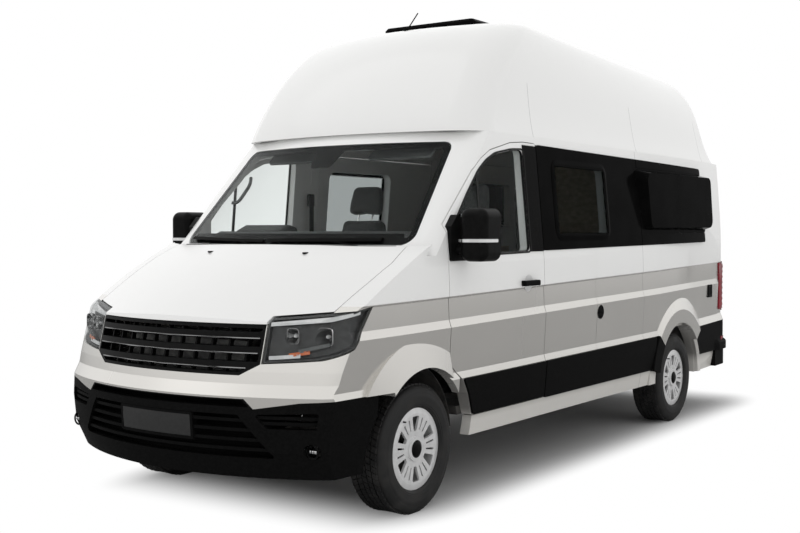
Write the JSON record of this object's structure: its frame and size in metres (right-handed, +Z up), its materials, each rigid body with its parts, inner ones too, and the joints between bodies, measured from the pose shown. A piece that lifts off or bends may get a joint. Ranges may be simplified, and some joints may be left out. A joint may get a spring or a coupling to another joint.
{
  "type": "camper van",
  "caption": "Panel-van camper with a moulded high roof, flared side bed pods, opening cab and rear doors, bonnet, roof hatch and steered wheels.",
  "frame": {"origin": "on the ground, midway along and across the vehicle", "axes": "+X forward, +Y to the vehicle's left, +Z up"},
  "size_m": [5.9843, 2.426, 2.9968],
  "materials": {
    "white_paint": "gloss white paint",
    "body_paint": "gloss paint, white above the waist line and warm silver below",
    "black_plastic": "fine-grained black plastic",
    "black_gloss": "gloss black acrylic",
    "glass": "clear glass",
    "seat_fabric": "woven grey fabric",
    "dash_plastic": "soft dark grey plastic",
    "cast_metal": "cast metal",
    "floor_steel": "black underbody coating",
    "running_gear": "black painted iron",
    "lamp_lens": "clear lens over bright reflectors",
    "red_lens": "dark red lens",
    "furniture_wood": "satin board",
    "tank_plastic": "moulded plastic",
    "tyre": "black rubber",
    "wheel_silver": "silver trim"
  },
  "bodies": {
    "body": {"antenna": "black_plastic", "bed_pods": "black_gloss", "cab_frame": "body_paint", "cab_seats": "seat_fabric", "dashboard": "dash_plastic", "engine": "cast_metal", "floor_pan": "floor_steel", "front_panels": "body_paint", "front_suspension": "running_gear", "grille": "black_plastic", "headlamp_housings": "dash_plastic", "headlamps": "lamp_lens", "high_roof": "white_paint", "living_furniture": "furniture_wood", "lower_bumper": "black_plastic", "rear_axle": "running_gear", "rear_bumper": "black_plastic", "side_cladding": "black_plastic", "side_glazing": "black_gloss", "side_panel_left": "body_paint", "side_panel_right": "body_paint", "sliding_door": "body_paint", "tail_lamps": "red_lens", "underfloor_tanks": "tank_plastic", "windscreen": "glass", "wipers": "black_plastic"},
    "cab_door_left": {"cab_door_left": "body_paint", "cab_door_trim_left": "black_plastic", "cab_door_glass_left": "glass", "mirror_left": "black_plastic"},
    "cab_door_right": {"cab_door_right": "body_paint", "cab_door_trim_right": "black_plastic", "cab_door_glass_right": "glass", "mirror_right": "black_plastic"},
    "rear_door_left": {"rear_door_left": "body_paint", "rear_door_glass_left": "glass"},
    "rear_door_right": {"rear_door_right": "body_paint", "rear_door_glass_right": "glass"},
    "bonnet": {"bonnet": "white_paint"},
    "skylight": {"skylight": "black_gloss"},
    "steering_wheel": {"steering_wheel": "dash_plastic"},
    "knuckle_left": {"knuckle_left": "running_gear"},
    "knuckle_right": {"knuckle_right": "running_gear"},
    "wheel_front_left": {"wheel_front_left": "wheel_silver", "tyre_front_left": "tyre"},
    "wheel_front_right": {"wheel_front_right": "wheel_silver", "tyre_front_right": "tyre"},
    "wheel_rear_left": {"wheel_rear_left": "wheel_silver", "tyre_rear_left": "tyre"},
    "wheel_rear_right": {"wheel_rear_right": "wheel_silver", "tyre_rear_right": "tyre"}
  },
  "joints": [
    {"name": "steer_left", "type": "hinge", "parent": "body", "child": "knuckle_left", "pos_m": [2.002, 0.76, 0.348], "axis": [0, 0, 1], "range_deg": [-35, 35]},
    {"name": "steer_right", "type": "hinge", "parent": "body", "child": "knuckle_right", "pos_m": [2.002, -0.76, 0.348], "axis": [0, 0, 1], "range_deg": [-35, 35]},
    {"name": "spin_front_left", "type": "hinge", "parent": "knuckle_left", "child": "wheel_front_left", "pos_m": [2.002, 0.861, 0.348], "axis": [0, 1, 0], "continuous": true},
    {"name": "spin_front_right", "type": "hinge", "parent": "knuckle_right", "child": "wheel_front_right", "pos_m": [2.002, -0.861, 0.348], "axis": [0, 1, 0], "continuous": true},
    {"name": "spin_rear_left", "type": "hinge", "parent": "body", "child": "wheel_rear_left", "pos_m": [-1.638, 0.861, 0.348], "axis": [0, 1, 0], "continuous": true},
    {"name": "spin_rear_right", "type": "hinge", "parent": "body", "child": "wheel_rear_right", "pos_m": [-1.638, -0.861, 0.348], "axis": [0, 1, 0], "continuous": true},
    {"name": "cab_door_left_hinge", "type": "hinge", "parent": "body", "child": "cab_door_left", "pos_m": [1.742, 1.028, 1], "axis": [0, 0, -1], "range_deg": [0, 70]},
    {"name": "cab_door_right_hinge", "type": "hinge", "parent": "body", "child": "cab_door_right", "pos_m": [1.742, -1.028, 1], "axis": [0, 0, 1], "range_deg": [0, 70]},
    {"name": "rear_door_left_hinge", "type": "hinge", "parent": "body", "child": "rear_door_left", "pos_m": [-2.942, 0.8025, 1.3], "axis": [0, 0, -1], "range_deg": [0, 180]},
    {"name": "rear_door_right_hinge", "type": "hinge", "parent": "body", "child": "rear_door_right", "pos_m": [-2.942, -0.8025, 1.3], "axis": [0, 0, 1], "range_deg": [0, 180]},
    {"name": "bonnet_hinge", "type": "hinge", "parent": "body", "child": "bonnet", "pos_m": [1.94, 0, 1.42], "axis": [0, -1, 0], "range_deg": [0, 55]},
    {"name": "skylight_hinge", "type": "hinge", "parent": "body", "child": "skylight", "pos_m": [0.465, 0, 2.944], "axis": [0, 1, 0], "range_deg": [0, 50]},
    {"name": "steering_wheel_turn", "type": "hinge", "parent": "body", "child": "steering_wheel", "pos_m": [1.425, -0.43, 1.214], "axis": [-0.9314, 0, 0.3639], "range_deg": [-525, 525]}
  ],
  "couplings": [
    {"joint": "steer_right", "follows": "steer_left", "ratio": 1},
    {"joint": "steering_wheel_turn", "follows": "steer_left", "ratio": 15}
  ]
}
